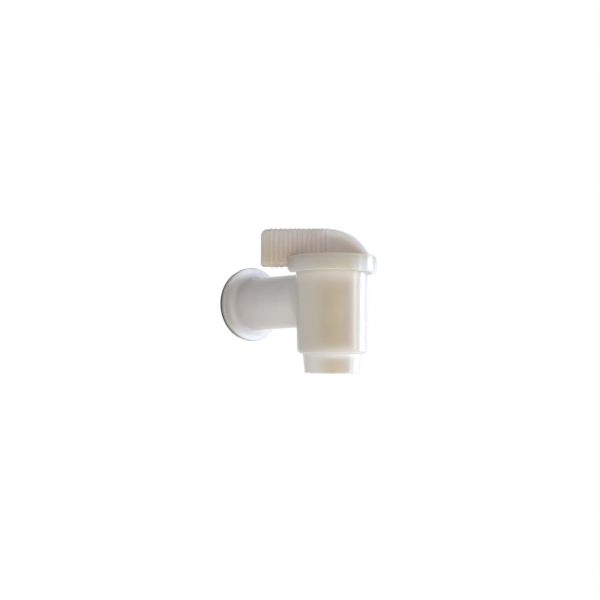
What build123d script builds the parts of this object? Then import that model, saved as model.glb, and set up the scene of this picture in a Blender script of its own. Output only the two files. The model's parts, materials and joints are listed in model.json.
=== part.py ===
from build123d import *
import os
from math import cos, radians, sin, sqrt

# Quarter-turn drum tap: a moulded body that screws into a drum's wall, a plug with a lever that turns
# inside the body's barrel, and a flat gasket under the flange.
# Frame: +X runs from the drum outwards along the neck, +Z is up, and the origin is on the neck's axis
# in the gasket's drum-side face. All sizes are in millimetres.

# Threaded tail and gasket
thread_d = 26.44
thread_length = 9.0
thread_chamfer = 1.0
relief_depth = 0.72
gasket_t = 1.5
gasket_d = 40.2
gasket_hole_clear = 0.2

# Flange, neck and waterway
flange_d = 41.2
flange_t = 2.2
flange_edge_r = 0.8
trumpet_r = 4.0
neck_root_d = 29.3
neck_end_d = 28.0
neck_fillet_r = 1.0
waterway_d = 20.0
reach = 71.0

# Barrel and spout
barrel_top_d = 36.6
barrel_bottom_d = 35.4
barrel_wall = 3.0
barrel_drop = 28.0
barrel_corner_r = 3.0
floor_t = 2.6
rim_out = 1.5
rim_h = 2.9
rim_edge_r = 0.4
head_h = 18.2
spout_root_d = 29.5
spout_end_d = 27.9
spout_bore_d = 22.8
spout_h = 9.5
spout_edge_r = 0.7
mouth_chamfer = 0.6

# Cap, skirt and plug
cap_t = 2.6
cap_edge_r = 1.0
skirt_h = 8.3
skirt_wall = 2.5
skirt_gap = 0.3
skirt_edge_r = 0.5
seat_gap = 0.2
bead_in = 0.9
bead_h = 0.7
bead_gap = 0.2
plug_gap = 0.05
plug_wall = 2.5
plug_end_gap = 0.3
port_d = 17.0

# Lever, half way between lying over the neck and lying across it
lever_turn = 50.0
quarter_turn = 90.0
lever_t = 7.0
lever_h = 14.2
lever_tip = 36.0
lever_edge_r = 2.2
tip_corner_r = 3.5
tip_foot_r = 1.2
back_arc_r = 23.6
back_arc_start = 2.2
neck_clear = 1.1
paddle_step = 1.25
rib_count = 13
rib_pitch = 2.35
rib_first = 30.6
rib_h = 0.48
rib_w = 2.2
rib_taper = 26.0

# Levels and radii that follow from the sizes above
thread_r = thread_d / 2
relief_r = thread_r - relief_depth
flange_front = gasket_t + flange_t
barrel_top_r = barrel_top_d / 2
barrel_bottom_r = barrel_bottom_d / 2
neck_draft = (neck_root_d - neck_end_d) / 2 / (reach - barrel_top_r - flange_front)
neck_axis_r = neck_end_d / 2 - neck_draft * barrel_top_r
rim_r = barrel_top_r + rim_out
rim_bottom = head_h - rim_h
spout_bottom = -barrel_drop - spout_h
floor_z = -barrel_drop + floor_t
bore_top_r = barrel_top_r - barrel_wall
bore_floor_r = barrel_bottom_r - barrel_wall
cap_under = head_h + seat_gap
cap_top = cap_under + cap_t
skirt_in_r = rim_r + skirt_gap
cap_r = skirt_in_r + skirt_wall
skirt_bottom = cap_top - skirt_h
bead_top = rim_bottom - bead_gap
bead_r = skirt_in_r - bead_in
plug_bottom = floor_z + plug_end_gap
plug_top_r = bore_top_r - plug_gap
plug_bottom_r = bore_floor_r - plug_gap
saddle_r = neck_end_d / 2 + neck_clear
paddle_bottom = saddle_r + paddle_step
lever_top = cap_top + lever_h

# The barrel's axis, and the lever's direction seen from it
barrel_foot = Vector(reach, 0, 0)
barrel_axis = Axis(barrel_foot, (0, 0, 1))
lever_dir = Vector(-cos(radians(lever_turn)), -sin(radians(lever_turn)), 0)
closed_dir = lever_dir.rotate(Axis.Z, -quarter_turn)
barrel_section = Plane(barrel_foot, x_dir=(1, 0, 0), z_dir=(0, -1, 0))
lever_side = Plane(barrel_foot, x_dir=lever_dir, z_dir=lever_dir.cross(Vector(0, 0, 1)))

# Body: tail, flange and neck turned about the neck's axis, barrel and spout about their own
with BuildPart() as body:
    with BuildSketch(Plane.XZ) as neck_profile:
        with BuildLine():
            Polyline(
                (-thread_length, 0),
                (-thread_length, thread_r - thread_chamfer),
                (-thread_length + thread_chamfer, thread_r),
                (0, thread_r),
                (0, relief_r),
                (gasket_t, relief_r),
                (gasket_t, flange_d / 2),
                (flange_front, flange_d / 2),
                (flange_front, neck_root_d / 2),
                (reach, neck_axis_r),
                (reach, 0),
                close=True,
            )
        make_face()
        rim_corners = neck_profile.vertices().group_by(Axis.Y)[-1]
        fillet(rim_corners, flange_edge_r)
        trumpet_root = neck_profile.vertices().sort_by_distance((flange_front, neck_root_d / 2))[0]
        fillet(trumpet_root, trumpet_r)
    revolve(axis=Axis.X)

    with BuildSketch(barrel_section) as barrel_profile:
        with BuildLine():
            Polyline(
                (0, rim_bottom),
                (barrel_top_r, rim_bottom),
                (barrel_bottom_r, -barrel_drop),
                (0, -barrel_drop),
                close=True,
            )
        make_face()
        barrel_corner = barrel_profile.vertices().sort_by_distance((barrel_bottom_r, -barrel_drop))[0]
        fillet(barrel_corner, barrel_corner_r)
    revolve(axis=barrel_axis)
    joint_edges = body.edges().filter_by(
        lambda edge: edge.geom_type == GeomType.BSPLINE and edge.center().X > flange_front
    )
    fillet(joint_edges, neck_fillet_r)

    with BuildSketch(barrel_section) as rim_profile:
        with BuildLine():
            Polyline((0, rim_bottom), (rim_r, rim_bottom), (rim_r, head_h), (0, head_h), close=True)
        make_face()
        rim_edges = rim_profile.vertices().group_by(Axis.X)[-1]
        fillet(rim_edges, rim_edge_r)
    revolve(axis=barrel_axis)

    with BuildSketch(barrel_section) as spout_profile:
        with BuildLine():
            Polyline(
                (0, floor_z),
                (spout_root_d / 2, floor_z),
                (spout_root_d / 2, -barrel_drop),
                (spout_end_d / 2, spout_bottom),
                (0, spout_bottom),
                close=True,
            )
        make_face()
        spout_lip = spout_profile.vertices().sort_by_distance((spout_end_d / 2, spout_bottom))[0]
        fillet(spout_lip, spout_edge_r)
    revolve(axis=barrel_axis)

    with BuildSketch(barrel_section):
        with BuildLine():
            Polyline(
                (0, head_h),
                (bore_top_r + mouth_chamfer, head_h),
                (bore_top_r, head_h - mouth_chamfer),
                (bore_floor_r, floor_z),
                (0, floor_z),
                close=True,
            )
        make_face()
    revolve(axis=barrel_axis, mode=Mode.SUBTRACT)
    with BuildSketch(Plane.XY.offset(spout_bottom)):
        with Locations((reach, 0)):
            Circle(spout_bore_d / 2)
    extrude(amount=floor_z - spout_bottom, mode=Mode.SUBTRACT)
    with BuildSketch(Plane.YZ.offset(-thread_length)):
        Circle(waterway_d / 2)
    extrude(amount=thread_length + reach, mode=Mode.SUBTRACT)

# Lever: a flat blade with an arched back, and a paddle that hangs past the skirt
lever_root = cap_top - cap_t / 2
paddle_root = cap_r - skirt_wall / 2
arc_centre_z = lever_top - back_arc_r
back_foot = back_arc_start - sqrt(back_arc_r**2 - (lever_root - arc_centre_z) ** 2)
with BuildPart() as lever:
    with BuildSketch(lever_side) as lever_profile:
        with BuildLine():
            RadiusArc((back_foot, lever_root), (back_arc_start, lever_top), back_arc_r)
            Polyline(
                (back_arc_start, lever_top),
                (lever_tip, lever_top),
                (lever_tip, paddle_bottom),
                (paddle_root, paddle_bottom),
                (paddle_root, lever_root),
                (back_foot, lever_root),
            )
        make_face()
        tip_corner = lever_profile.vertices().sort_by_distance((lever_tip, lever_top))[0]
        fillet(tip_corner, tip_corner_r)
        tip_foot = lever_profile.vertices().sort_by_distance((lever_tip, paddle_bottom))[0]
        fillet(tip_foot, tip_foot_r)
    extrude(amount=lever_t / 2, both=True)
    outline = lever.faces().filter_by(lever_side).edges().filter_by(
        lambda edge: edge.center().Z > lever_root + lever_edge_r
        or lever_side.to_local_coords(edge.center()).X > paddle_root + lever_edge_r
    )
    fillet(outline, lever_edge_r)

    # Grip ribs that run round the lever's top and both its sides
    for rib in range(rib_count):
        rib_at = rib_first - rib * rib_pitch
        over_cap = rib_at - rib_w / 2 < cap_r
        rib_foot = lever_root if over_cap else paddle_bottom - rib_h
        rib_top = lever_top + rib_h
        rib_plane = Plane(barrel_foot + lever_dir * rib_at, x_dir=(0, 0, 1), z_dir=lever_dir)
        with BuildSketch(rib_plane) as rib_section:
            with Locations(((rib_foot + rib_top) / 2, 0)):
                Rectangle(rib_top - rib_foot, lever_t + 2 * rib_h)
            corners = rib_section.vertices()
            fillet(corners.group_by(Axis.X)[-1] if over_cap else corners, lever_edge_r + rib_h)
        extrude(amount=rib_w / 2, both=True, taper=rib_taper)

# Handle and plug: cap, skirt and hollow plug turned about the barrel's axis, the lever standing on the cap
with BuildPart() as handle_plug:
    with BuildSketch(barrel_section) as cap_profile:
        with BuildLine():
            Polyline(
                (0, cap_top),
                (cap_r, cap_top),
                (cap_r, skirt_bottom),
                (skirt_in_r, skirt_bottom),
                (bead_r, bead_top - bead_h),
                (bead_r, bead_top),
                (skirt_in_r, bead_top),
                (skirt_in_r, cap_under),
                (plug_top_r, cap_under),
                (plug_bottom_r, plug_bottom),
                (plug_bottom_r - plug_wall, plug_bottom),
                (plug_top_r - plug_wall, cap_under),
                (0, cap_under),
                close=True,
            )
        make_face()
        cap_shoulder = cap_profile.vertices().sort_by_distance((cap_r, cap_top))[0]
        fillet(cap_shoulder, cap_edge_r)
        skirt_foot = cap_profile.vertices().sort_by_distance((cap_r, skirt_bottom))[0]
        fillet(skirt_foot, skirt_edge_r)
    revolve(axis=barrel_axis)

    # The plug's port faces the same way as the lever
    with BuildSketch(Plane(barrel_foot, x_dir=(0, 0, 1), z_dir=lever_dir)):
        Circle(port_d / 2)
    extrude(amount=plug_top_r + plug_gap, mode=Mode.SUBTRACT)

    # A quarter of the skirt is cut away to pass over the neck, and each end of the gap is a saddle
    gap_in_r = (plug_top_r + bead_r) / 2
    gap_width = cap_r + skirt_wall - gap_in_r
    closed_section = Plane(barrel_foot, x_dir=closed_dir, z_dir=closed_dir.cross(Vector(0, 0, 1)))
    with BuildSketch(closed_section):
        with Locations((gap_in_r + gap_width / 2, skirt_bottom)):
            Rectangle(gap_width, 2 * (saddle_r - skirt_bottom))
    revolve(axis=barrel_axis, revolution_arc=quarter_turn, mode=Mode.SUBTRACT)
    for saddle_dir in (lever_dir, closed_dir):
        with BuildSketch(Plane(barrel_foot + saddle_dir * gap_in_r, z_dir=saddle_dir)):
            Circle(saddle_r)
        extrude(amount=gap_width, mode=Mode.SUBTRACT)
    add(lever.part)

# Gasket: a flat ring that lies against the flange's drum side
with BuildPart() as gasket:
    with BuildSketch(Plane.YZ):
        Circle(gasket_d / 2)
        Circle(thread_r + gasket_hole_clear, mode=Mode.SUBTRACT)
    extrude(amount=gasket_t)

os.makedirs("parts", exist_ok=True)
body.part.label = "body"
export_step(body.part, "parts/body.step")
handle_plug.part.label = "handle_plug"
export_step(handle_plug.part, "parts/handle_plug.step")
gasket.part.label = "gasket"
export_step(gasket.part, "parts/gasket.step")
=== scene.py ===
import json
from math import cos, radians, sin, tau

import bmesh
import bpy
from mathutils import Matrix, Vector


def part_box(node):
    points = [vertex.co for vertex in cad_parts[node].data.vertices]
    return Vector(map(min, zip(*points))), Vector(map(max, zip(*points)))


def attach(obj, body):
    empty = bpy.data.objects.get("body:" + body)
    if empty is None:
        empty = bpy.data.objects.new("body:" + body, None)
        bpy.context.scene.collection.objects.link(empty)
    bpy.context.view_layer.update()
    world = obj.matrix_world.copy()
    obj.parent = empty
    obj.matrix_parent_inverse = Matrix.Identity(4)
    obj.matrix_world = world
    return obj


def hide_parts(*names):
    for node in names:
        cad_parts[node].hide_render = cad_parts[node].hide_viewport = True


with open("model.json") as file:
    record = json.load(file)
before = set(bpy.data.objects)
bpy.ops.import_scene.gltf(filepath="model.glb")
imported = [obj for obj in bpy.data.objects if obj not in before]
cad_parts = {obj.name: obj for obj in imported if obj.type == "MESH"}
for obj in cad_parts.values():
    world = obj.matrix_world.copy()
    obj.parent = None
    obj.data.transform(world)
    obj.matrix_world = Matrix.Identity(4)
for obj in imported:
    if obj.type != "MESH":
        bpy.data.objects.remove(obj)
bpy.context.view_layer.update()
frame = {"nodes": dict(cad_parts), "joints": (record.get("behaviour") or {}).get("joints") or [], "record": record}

# Body: one moulding of unpigmented polyethylene, with the drum thread on its tail, the flange, the long
# neck, the upright barrel and the spout. The thread is part of the same skin, rounded at crest and root,
# and it dies away before the flange. A faint seam of the mould runs along the neck.
neck_milk = (0.89, 0.85, 0.81, 1.0)
# Painted shade: the neck's top is painted darker than its lower side.
neck_top_painted_shade = (0.71, 0.69, 0.70, 1.0)
# Painted shade: the neck is painted darker and warmer near its root at the flange.
neck_root_painted_shade = (0.70, 0.655, 0.625, 1.0)
seam_shade = (0.58, 0.55, 0.51, 1.0)
flange_milk = (0.96, 0.94, 0.96, 1.0)
# Painted shade: the flange's side away from the window light is painted darker.
flange_painted_shade = (0.50, 0.47, 0.42, 1.0)
# Painted shade along the flange's rim, beside the gasket.
rim_painted_shade = (0.42, 0.41, 0.395, 1.0)
barrel_milk = (0.765, 0.72, 0.645, 1.0)
# Painted light: the spout is painted paler than the barrel, for light from below shining through its thin wall.
spout_milk_painted_light = (0.88, 0.845, 0.815, 1.0)
# Painted light on the step where the barrel's underside meets the spout.
step_painted_light = (0.95, 0.905, 0.87, 1.0)
# Painted light on the barrel's top under the cap, where the cap's shadow falls.
painted_light_under_cap = (0.89, 0.82, 0.735, 1.0)
# Painted light: a pale lilac on the barrel's and skirt's side towards the window light.
side_painted_light = (0.80, 0.78, 0.80, 1.0)
core_honey = (0.645, 0.545, 0.39, 1.0)
core_rose = (0.645, 0.55, 0.475, 1.0)
spout_rose = (0.645, 0.60, 0.575, 1.0)

flange_fade = (0.0030, 0.0052)
flange_side = (-0.0215, -0.0015)
rim_fade = (0.0199, 0.0206)
# Painted light: these masks lay the flange's pale milk over the top of the neck's flare.
flare_width = (0.0146, 0.0170)
flare_height = (0.005, 0.012)
flare_side = (-0.013, -0.005)
neck_shade_rise = (-0.013, 0.013)
neck_cloud = 0.25
root_shade_depth = 0.8
root_reach = (0.010, 0.044)
root_height = (0.0110, 0.0155)
root_width = (0.0150, 0.0200)
seam_start = (0.006, 0.008)
seam_end = (-0.020, -0.018)
seam_width = 0.00022
seam_height = 5.0e-5
seam_depth = 0.5
seam_least = 0.5
seam_break = 0.003125
seam_spread = (0.36, 0.64)

lever_line = radians(50)
barrel_start = (-0.0185, -0.0140)
core_near = (-0.0150, 0.0)
core_far = (0.0068, 0.0112)
core_foot = (-0.0275, -0.0215)
core_head = (0.003, 0.0120)
core_cloud = 0.2
rose_side = (0.001, 0.009)
painted_light_side = (0.0112, 0.0145)
# The height band of the painted light under the cap.
under_cap = (0.006, 0.0125)
spout_near = (-0.0105, 0.0)
spout_far = (0.0072, 0.0112)
spout_head = (-0.0315, -0.0285)
spout_depth = 0.8
step_foot = (-0.0320, -0.0285)
step_head = (-0.0280, -0.0262)

body_glow = 0.0042
glow_weight = 1.0
glow_reach = (1.0, 0.8, 0.55)
skin_index = 1.54
skin_shine = 0.42
satin = 0.13
satin_spread = 0.06
grain_size = 0.0004
grain_detail = 2.0
grain_height = 3.0e-6
cloud_size = 0.012
cloud_detail = 2.0
cloud_spread = (0.3, 0.7)
patch_detail = 3.0
patch_height = 6.0e-5

smooth_below = radians(40)
weld_reach = 2e-6
thread_pitch = 0.001814
thread_depth = 0.00116
thread_steps = 128
rows_per_pitch = 16
lead_chamfer = 0.001
fade_start = 0.0004
fade_end = 0.0024
mounts = {mount["name"]: mount for mount in frame["record"]["mounts"]}
crest_r = mounts["tail_thread"]["dims"]["r_mm"] / 1000
tail_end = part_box("body")[0].x
barrel_at = Vector(frame["joints"][0]["pos_m"])


class Socket:
    """An output of a material's nodes: a sum or product of it adds its own Math node."""

    def __init__(self, tree, out=None):
        self.tree = tree
        self.out = out

    def node(self, kind, settings, inputs, output=0):
        """One of the outputs of a new node, with its settings and inputs filled in or linked."""
        made = self.tree.nodes.new(kind)
        for name, value in settings.items():
            setattr(made, name, value)
        for name, value in inputs.items():
            if isinstance(value, Socket):
                self.tree.links.new(value.out, made.inputs[name])
            else:
                made.inputs[name].default_value = value
        return Socket(self.tree, made.outputs[output] if made.outputs else None)

    def maths(self, operation, first, second):
        return self.node("ShaderNodeMath", {"operation": operation}, {0: first, 1: second})

    def __add__(self, other):
        return self.maths("ADD", self, other)

    __radd__ = __add__

    def __sub__(self, other):
        return self.maths("SUBTRACT", self, other)

    def __rsub__(self, other):
        return self.maths("SUBTRACT", other, self)

    def __mul__(self, other):
        return self.maths("MULTIPLY", self, other)

    __rmul__ = __mul__

    def __pow__(self, power):
        return self.maths("POWER", self, power)

    def __abs__(self):
        return self.maths("ABSOLUTE", self, 0.0)

    def rise(self, low, high):
        """0 where this value is at low, 1 where it is at high, and a smooth rise between them."""
        return self.node(
            "ShaderNodeMapRange",
            {"interpolation_type": "SMOOTHSTEP"},
            {"Value": self, "From Min": low, "From Max": high},
        )

    def blend(self, first, second):
        """The colour that goes from first to second as this value goes from 0 to 1."""
        return self.node("ShaderNodeMix", {"data_type": "RGBA"}, {0: self, 6: first, 7: second}, 2)

    def noise(self, size, detail):
        """Cloudy noise over this place, with patches of about the given size in metres."""
        return self.node(
            "ShaderNodeTexNoise", {}, {"Vector": self, "Scale": 1 / size, "Detail": detail}, "Fac"
        )

    def axes(self):
        """The three coordinates of this place."""
        return [self.node("ShaderNodeSeparateXYZ", {}, {"Vector": self}, axis) for axis in "XYZ"]


def new_material(name):
    """An empty node material, and the place on its surface in the tap's own frame."""
    material = bpy.data.materials.new(name)
    material.use_nodes = True
    material.node_tree.nodes.clear()
    place = Socket(material.node_tree).node("ShaderNodeTexCoord", {}, {}, "Object")
    return material, place


def behind_axis(x, y):
    """How far a place lies past the barrel's axis on the lever's line, away from the lever."""
    return (x - barrel_at.x) * cos(lever_line) + y * sin(lever_line)


def polyethylene_skin(place, colour, dulling, ridges, glow):
    """Moulded polyethylene: satin in soft patches, a fine grain, and light that spreads under the skin."""
    patches = place.noise(cloud_size, patch_detail)
    grain = place.noise(grain_size, grain_detail)
    height = grain * grain_height + patches * patch_height + ridges
    relief = place.node("ShaderNodeBump", {}, {"Strength": 1.0, "Distance": 1.0, "Height": height})
    skin = place.node(
        "ShaderNodeBsdfPrincipled",
        {},
        {
            "Base Color": colour,
            "Roughness": satin + satin_spread * patches + dulling,
            "IOR": skin_index,
            "Specular IOR Level": skin_shine,
            "Subsurface Weight": glow_weight,
            "Subsurface Scale": glow,
            "Subsurface Radius": glow_reach,
            "Normal": relief,
        },
    )
    place.node("ShaderNodeOutputMaterial", {}, {"Surface": skin})


def body_polyethylene():
    """Milky along the neck and flange, and warmer round the barrel, where the plug's wall backs its own. Painted
    shade darkens the neck's top and root and the flange's far side and rim; painted light brightens the flange's
    flare, the spout, the step, the barrel under the cap and its window side.
    """
    material, place = new_material("body_polyethylene")
    x, y, z = place.axes()
    out = x - barrel_at.x
    from_axis = (y**2 + z**2) ** 0.5
    clouds = place.noise(cloud_size, cloud_detail).rise(*cloud_spread)

    # Painted shade on the flange's side away from the window light.
    flange_face = y.rise(*flange_side).blend(flange_painted_shade, flange_milk)
    # Painted shade on the flange's rim.
    flange = from_axis.rise(*rim_fade).blend(flange_face, rim_painted_shade)
    # Painted shade: the neck grows darker towards its top.
    neck = (z.rise(*neck_shade_rise) - neck_cloud * clouds).blend(neck_milk, neck_top_painted_shade)
    # Painted shade at the neck's root, fading out along the neck and clear of the flange's flare.
    near_flange = (1 - x.rise(*root_reach)) * (1 - abs(z).rise(*root_height))
    root_shade_mask = near_flange * (1 - from_axis.rise(*root_width))
    neck_with_root_shade = (root_shade_depth * root_shade_mask).blend(neck, neck_root_painted_shade)
    # Painted light on the top of the flare between the neck and the flange.
    flare_painted_light = from_axis.rise(*flare_width) * z.rise(*flare_height) * y.rise(*flare_side)
    milk = x.rise(*flange_fade).blend(flange, flare_painted_light.blend(neck_with_root_shade, flange_milk))

    breaks = {"W": x, "Scale": 1 / seam_break}
    broken = x.node("ShaderNodeTexNoise", {"noise_dimensions": "1D"}, breaks, "Fac").rise(*seam_spread)
    on_neck = x.rise(*seam_start) * (1 - out.rise(*seam_end))
    seam = (1 - abs(z).rise(0.0, seam_width)) * on_neck * (seam_least + (1 - seam_least) * broken)

    behind = behind_axis(x, y)
    in_core = behind.rise(*core_near) * (1 - behind.rise(*core_far))
    plug_core = in_core * z.rise(*core_foot) * (1 - z.rise(*core_head))
    in_spout = behind.rise(*spout_near) * (1 - behind.rise(*spout_far))
    spout_core = spout_depth * in_spout * (1 - z.rise(*spout_head))
    # Painted light: the spout, and the barrel just under the cap, are painted paler than the barrel's wall.
    wall = z.rise(*under_cap).blend(z.rise(*spout_head).blend(spout_milk_painted_light, barrel_milk), painted_light_under_cap)
    # Painted light on the step from the barrel to the spout.
    step = z.rise(*step_foot) * (1 - z.rise(*step_head))
    # Painted light: pale lilac on the barrel's side towards the window light.
    pale = behind.rise(*painted_light_side).blend(step.blend(wall, step_painted_light), side_painted_light)
    rose = z.rise(*spout_head).blend(spout_rose, core_rose)
    backing = behind.rise(*rose_side).blend(core_honey, rose)
    honey = ((plug_core + spout_core) * (1 - core_cloud * clouds)).blend(pale, backing)

    colour = out.rise(*barrel_start).blend((seam_depth * seam).blend(milk, seam_shade), honey)
    polyethylene_skin(place, colour, 0.0, seam * seam_height, body_glow)
    return material


def moulded_copy(name, node):
    """A new piece from a node's solid, with its patches welded into one skin."""
    mesh = frame["nodes"][node].data.copy()
    mesh.name = name
    skin = bmesh.new()
    skin.from_mesh(mesh)
    bmesh.ops.remove_doubles(skin, verts=skin.verts, dist=weld_reach)
    piece = bpy.data.objects.new(name, mesh)
    bpy.context.scene.collection.objects.link(piece)
    return piece, skin


def finish_skin(piece, skin, material):
    """Shades the skin smooth up to its true corners, and lets the broad faces set the normals."""
    mesh = piece.data
    skin.to_mesh(mesh)
    skin.free()
    if "custom_normal" in mesh.attributes:
        mesh.attributes.remove(mesh.attributes["custom_normal"])
    mesh.shade_smooth()
    mesh.set_sharp_from_angle(angle=smooth_below)
    mesh.materials.clear()
    mesh.materials.append(material)
    even = piece.modifiers.new("broad_faces_first", "WEIGHTED_NORMAL")
    even.keep_sharp = True


def thread_radius(x, turn):
    """The thread's radius at x and at a turn of its helix: a rounded wave inside the lead chamfer."""
    fade = min(max((-x - fade_start) / (fade_end - fade_start), 0), 1)
    wave = 0.5 - 0.5 * cos(tau * (x / thread_pitch - turn))
    lead = crest_r - lead_chamfer + (x - tail_end)
    return min(crest_r - thread_depth * wave * fade * fade * (3 - 2 * fade), lead)


def cut_thread(skin):
    """Takes the plain tail off the skin and puts a threaded one in its place."""
    bore_r = min(vert.co.yz.length for vert in skin.verts if vert.co.x < tail_end + weld_reach)
    plain = [
        face
        for face in skin.faces
        if max(vert.co.x for vert in face.verts) < weld_reach
        and max(vert.co.yz.length for vert in face.verts) > bore_r + weld_reach
    ]
    bmesh.ops.delete(skin, geom=plain, context="FACES")
    open_edges = [edge for edge in skin.edges if edge.is_boundary]
    end_loop = [edge for edge in open_edges if edge.verts[0].co.x < tail_end / 2]
    root_loop = [edge for edge in open_edges if edge.verts[0].co.x > tail_end / 2]
    row_count = round(-tail_end / thread_pitch * rows_per_pitch)
    rows = []
    for row in range(row_count + 1):
        x = tail_end * (1 - row / row_count)
        ring = []
        for step in range(thread_steps):
            turn = step / thread_steps
            radius = thread_radius(x, turn)
            ring.append(skin.verts.new((x, radius * cos(tau * turn), radius * sin(tau * turn))))
        rows.append(ring)
    for low, high in zip(rows, rows[1:]):
        for step in range(thread_steps):
            after = (step + 1) % thread_steps
            skin.faces.new((low[step], high[step], high[after], low[after]))
    for loop, ring in ((end_loop, rows[0]), (root_loop, rows[-1])):
        ring_edges = [
            skin.edges.get((ring[step], ring[(step + 1) % thread_steps])) for step in range(thread_steps)
        ]
        bmesh.ops.triangle_fill(skin, edges=loop + ring_edges, normal=(1, 0, 0), use_beauty=True)
    bmesh.ops.recalc_face_normals(skin, faces=skin.faces)


body, body_skin = moulded_copy("tap_body_moulding", "body")
cut_thread(body_skin)
finish_skin(body, body_skin, body_polyethylene())
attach(body, "tap_body")
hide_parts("body")

# Gasket: a flat ring cut from black rubber sheet, slipped over the tail and nipped between the flange and
# the drum. It is matt, with the fine grain of the cloth that the sheet was pressed on and a little talc.
rubber_black = (0.016, 0.016, 0.017, 1.0)
rubber_talc = (0.060, 0.058, 0.056, 1.0)
rubber_satin = 0.62
rubber_shine = 0.2
talc_dulling = 0.2
talc_size = 0.004
talc_detail = 4.0
talc_spread = (0.45, 0.8)
cloth_size = 0.0003
cloth_detail = 2.0
cloth_height = 1.5e-5


def gasket_rubber():
    """Black rubber with a dusting of talc and a fine cloth-pressed grain."""
    material, place = new_material("gasket_rubber")
    dust = place.noise(talc_size, talc_detail).rise(*talc_spread)
    grain = place.noise(cloth_size, cloth_detail)
    relief = place.node("ShaderNodeBump", {}, {"Distance": 1.0, "Height": grain * cloth_height})
    rubber = place.node(
        "ShaderNodeBsdfPrincipled",
        {},
        {
            "Base Color": dust.blend(rubber_black, rubber_talc),
            "Roughness": rubber_satin + talc_dulling * dust,
            "Specular IOR Level": rubber_shine,
            "Normal": relief,
        },
    )
    place.node("ShaderNodeOutputMaterial", {}, {"Surface": rubber})
    return material


gasket = frame["nodes"]["gasket"]
gasket.data.materials.clear()
gasket.data.materials.append(gasket_rubber())

# Handle and plug: one moulding of the same polyethylene, with the ribbed lever standing on the round cap,
# the skirt that snaps under the barrel's rim, and the hollow plug that turns inside the barrel.
# The lever is thick, so it is warmer and darker than the skirt's thin edge.
lever_rose = (0.71, 0.68, 0.64, 1.0)
lever_honey = (0.655, 0.57, 0.475, 1.0)
# Painted light along the lever's sloping back edge.
lever_edge_painted_light = (0.96, 0.93, 0.92, 1.0)
arm_rose = (0.745, 0.69, 0.655, 1.0)
arm_honey = (0.765, 0.665, 0.565, 1.0)
# Painted shade along the cap's top edge, partly the deeper tone of its thick rim.
shoulder_painted_shade = (0.57, 0.50, 0.43, 1.0)
cap_milk = (0.73, 0.69, 0.64, 1.0)

lever_foot = 0.0205
lever_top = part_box("handle_plug")[1].z
foot_fade = 0.001
paddle_fade = (0.0220, 0.0235)
arm_height = (0.021, 0.029)
arm_fade = (0.010, 0.030)
back_centre = (0.0022, 0.0116)
back_band = (0.0180, 0.0230)
back_end = (0.0, 0.010)
lever_cloud = 0.3
lever_dulling = 0.25
lever_glow = 0.0085
shoulder_fade = (0.0160, 0.0212)
shoulder_edge = (0.0195, 0.0220)
skirt_core = 0.45
skirt_cloud = 0.2
skirt_painted_light_side = (0.0120, 0.0180)
painted_light_depth = 0.6

plug_head = 0.0183
plug_wall_r = (0.0140, 0.0160)
plug_clear = 0.0001


def handle_polyethylene():
    """Honey-coloured through the lever's thickness, milkier on the cap and its skirt, with painted shade on the
    cap's top edge and painted light on the lever's back edge and the skirt's window side.
    """
    material, place = new_material("handle_polyethylene")
    x, y, z = place.axes()
    behind = behind_axis(x, y)
    along = -1 * behind
    from_axis = ((x - barrel_at.x) ** 2 + y**2) ** 0.5
    clouds = place.noise(cloud_size, cloud_detail).rise(*cloud_spread)

    in_core = behind.rise(*core_near) * (1 - behind.rise(*core_far))
    skirt = (in_core * (skirt_core + skirt_cloud * clouds)).blend(cap_milk, core_honey)
    # Painted light: pale lilac on the skirt's side towards the window light.
    sided = (painted_light_depth * behind.rise(*skirt_painted_light_side)).blend(skirt, side_painted_light)
    # Painted shade on the cap's top edge, partly the deeper tone of its thick rim.
    milk = (z.rise(*shoulder_fade) * from_axis.rise(*shoulder_edge)).blend(sided, shoulder_painted_shade)

    # The lever runs from lever_honey, darker and warmer, at its foot on the cap to lever_rose at its top.
    up_from_foot = z.rise(lever_foot, lever_top) * (1 - lever_cloud * clouds)
    arm = z.rise(*arm_height).blend(arm_honey, arm_rose)
    length = along.rise(*arm_fade).blend(arm, up_from_foot.blend(lever_honey, lever_rose))
    # Painted light: a pale band along the lever's sloping back edge.
    from_centre = ((along - back_centre[0]) ** 2 + (z - back_centre[1]) ** 2) ** 0.5
    painted_light_back = from_centre.rise(*back_band) * (1 - along.rise(*back_end))
    blade = painted_light_back.blend(length, lever_edge_painted_light)

    paddle = along.rise(*paddle_fade)
    lever = paddle.maths("MAXIMUM", paddle, z.rise(lever_foot - foot_fade, lever_foot + foot_fade))
    polyethylene_skin(place, lever.blend(milk, blade), lever * lever_dulling, 0.0, lever_glow)
    return material


def draw_plug_in(skin):
    """Brings the plug's outer wall in a hair, so that its facets turn clear of the bore's."""
    for vert in skin.verts:
        out = (vert.co - barrel_at).xy
        if vert.co.z < plug_head and plug_wall_r[0] < out.length < plug_wall_r[1]:
            vert.co.xy = barrel_at.xy + out * (1 - plug_clear / out.length)


handle, handle_skin = moulded_copy("handle_moulding", "handle_plug")
draw_plug_in(handle_skin)
bmesh.ops.recalc_face_normals(handle_skin, faces=handle_skin.faces)
finish_skin(handle, handle_skin, handle_polyethylene())
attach(handle, "handle")
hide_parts("handle_plug")

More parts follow.
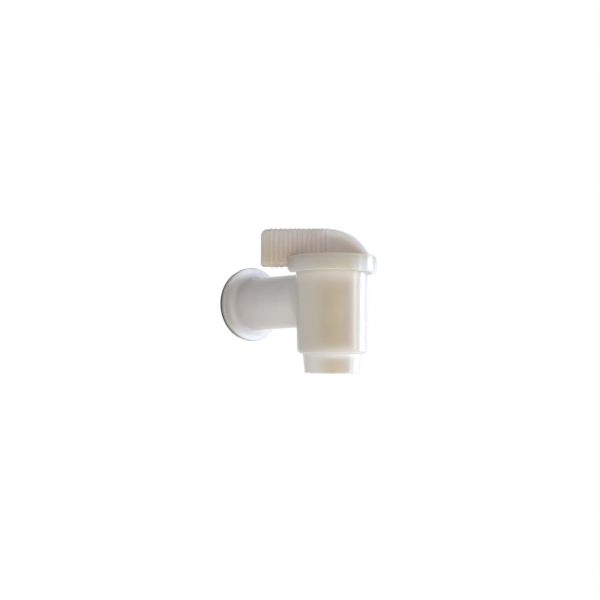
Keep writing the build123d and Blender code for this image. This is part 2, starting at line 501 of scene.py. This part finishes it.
# Studio: a pale floor well below the tap, which hangs by its thread, and a white surround that is dimmer
# overhead. A soft window stands to the right and a little behind, with a narrow one beside it, and two
# soft lights lift the front and the undersides.
floor_z = -0.45
floor_reach = 0.9
floor_corners = 96
floor_pale = (0.80, 0.80, 0.80, 1.0)
shadow_share = 0.35
shadow_reach = 0.45
surround_level = 0.46
surround_above = 0.22
white = (1.0, 1.0, 1.0, 1.0)
window_blue = (0.81, 0.88, 1.0)
side_blue = (0.92, 0.94, 1.0)
lamp_warm = (1.0, 0.985, 0.98)
camera_bearing = radians(51)
camera_height = radians(-3.5)
camera_away = 0.450
frame_pixels = 600
focal_pixels = 890
barrel_pixel = (332.1, 298.6)


def direction(bearing, height):
    """The direction from the tap towards a bearing and a height, as seen from its own front."""
    return Vector((sin(bearing) * cos(height), -cos(bearing) * cos(height), sin(height)))


def sees_white(place):
    """1 where the eye, a mirror or glass looks at the surround, 0 where it only lights the tap."""
    kinds = ("Camera", "Glossy", "Transmission")
    rays = [place.node("ShaderNodeLightPath", {}, {}, f"Is {kind} Ray") for kind in kinds]
    return rays[0].maths("MAXIMUM", rays[0], rays[0].maths("MAXIMUM", rays[1], rays[2]))


world = bpy.data.worlds.new("white_surround")
bpy.context.scene.world = world
world.use_nodes = True
world.node_tree.nodes.clear()
sky = Socket(world.node_tree)
seen = sees_white(sky)
upward = sky.node("ShaderNodeTexCoord", {}, {}, "Generated").axes()[2]
level = surround_level + (surround_above - surround_level) * upward.rise(0.0, 1.0)
surround = sky.node("ShaderNodeBackground", {}, {"Color": white, "Strength": level + (1 - level) * seen})
sky.node("ShaderNodeOutputWorld", {}, {"Surface": surround})

floor_mesh = bpy.data.meshes.new("floor")
floor_turns = [tau * corner / floor_corners for corner in range(floor_corners)]
floor_rim = [(floor_reach * cos(turn), floor_reach * sin(turn), 0) for turn in floor_turns]
floor_mesh.from_pydata(floor_rim, [], [range(floor_corners)])
floor = bpy.data.objects.new("floor", floor_mesh)
floor.location = (barrel_at.x, barrel_at.y, floor_z)
bpy.context.scene.collection.objects.link(floor)
floor_material, floor_place = new_material("pale_floor")
matt = floor_place.node("ShaderNodeBsdfDiffuse", {}, {"Color": floor_pale})
glow = floor_place.node("ShaderNodeEmission", {}, {"Color": white, "Strength": 1.0})
from_foot = floor_place.node("ShaderNodeVectorMath", {"operation": "LENGTH"}, {0: floor_place}, "Value")
shadowed = shadow_share * (1 - from_foot.rise(shadow_reach, floor_reach))
seen_floor = floor_place.node(
    "ShaderNodeMixShader", {}, {0: sees_white(floor_place) * (1 - shadowed), 1: matt, 2: glow}
)
floor_place.node("ShaderNodeOutputMaterial", {}, {"Surface": seen_floor})
floor_mesh.materials.append(floor_material)


def soft_light(name, bearing, height, away, width, tall, watts, tint):
    """A soft box that faces the barrel from a bearing and height given in degrees."""
    lamp = bpy.data.lights.new(name, "AREA")
    lamp.shape = "RECTANGLE"
    lamp.size = width
    lamp.size_y = tall
    lamp.energy = watts
    lamp.color = tint
    towards = direction(radians(bearing), radians(height))
    stand = bpy.data.objects.new(name, lamp)
    stand.location = barrel_at + away * towards
    stand.rotation_euler = towards.to_track_quat("Z", "Y").to_euler()
    bpy.context.scene.collection.objects.link(stand)


soft_light(
    "window_light", bearing=162, height=0, away=0.9, width=0.36, tall=0.9, watts=5.0, tint=window_blue
)
soft_light(
    "window_side", bearing=127, height=18, away=0.9, width=0.13, tall=1.2, watts=2.1, tint=side_blue
)
soft_light("low_light", bearing=50, height=-50, away=0.6, width=0.7, tall=0.7, watts=2.5, tint=lamp_warm)
soft_light("front_light", bearing=62, height=-8, away=0.9, width=1.0, tall=0.8, watts=1.2, tint=lamp_warm)

eye = bpy.data.cameras.new("camera")
eye.sensor_width = 36.0
eye.lens = eye.sensor_width * focal_pixels / frame_pixels
eye.clip_start = 0.01
camera = bpy.data.objects.new("camera", eye)
bpy.context.scene.collection.objects.link(camera)
towards_eye = direction(camera_bearing, camera_height)
image_right = Vector((cos(camera_bearing), sin(camera_bearing), 0))
image_up = towards_eye.cross(image_right)
metres_per_pixel = camera_away / focal_pixels
right_of_centre, below_centre = [
    (pixel - frame_pixels / 2) * metres_per_pixel for pixel in barrel_pixel
]
aim = barrel_at - image_right * right_of_centre + image_up * below_centre
camera.location = aim + towards_eye * camera_away
camera.rotation_euler = towards_eye.to_track_quat("Z", "Y").to_euler()
bpy.context.scene.camera = camera
bpy.context.scene.view_settings.view_transform = "Standard"
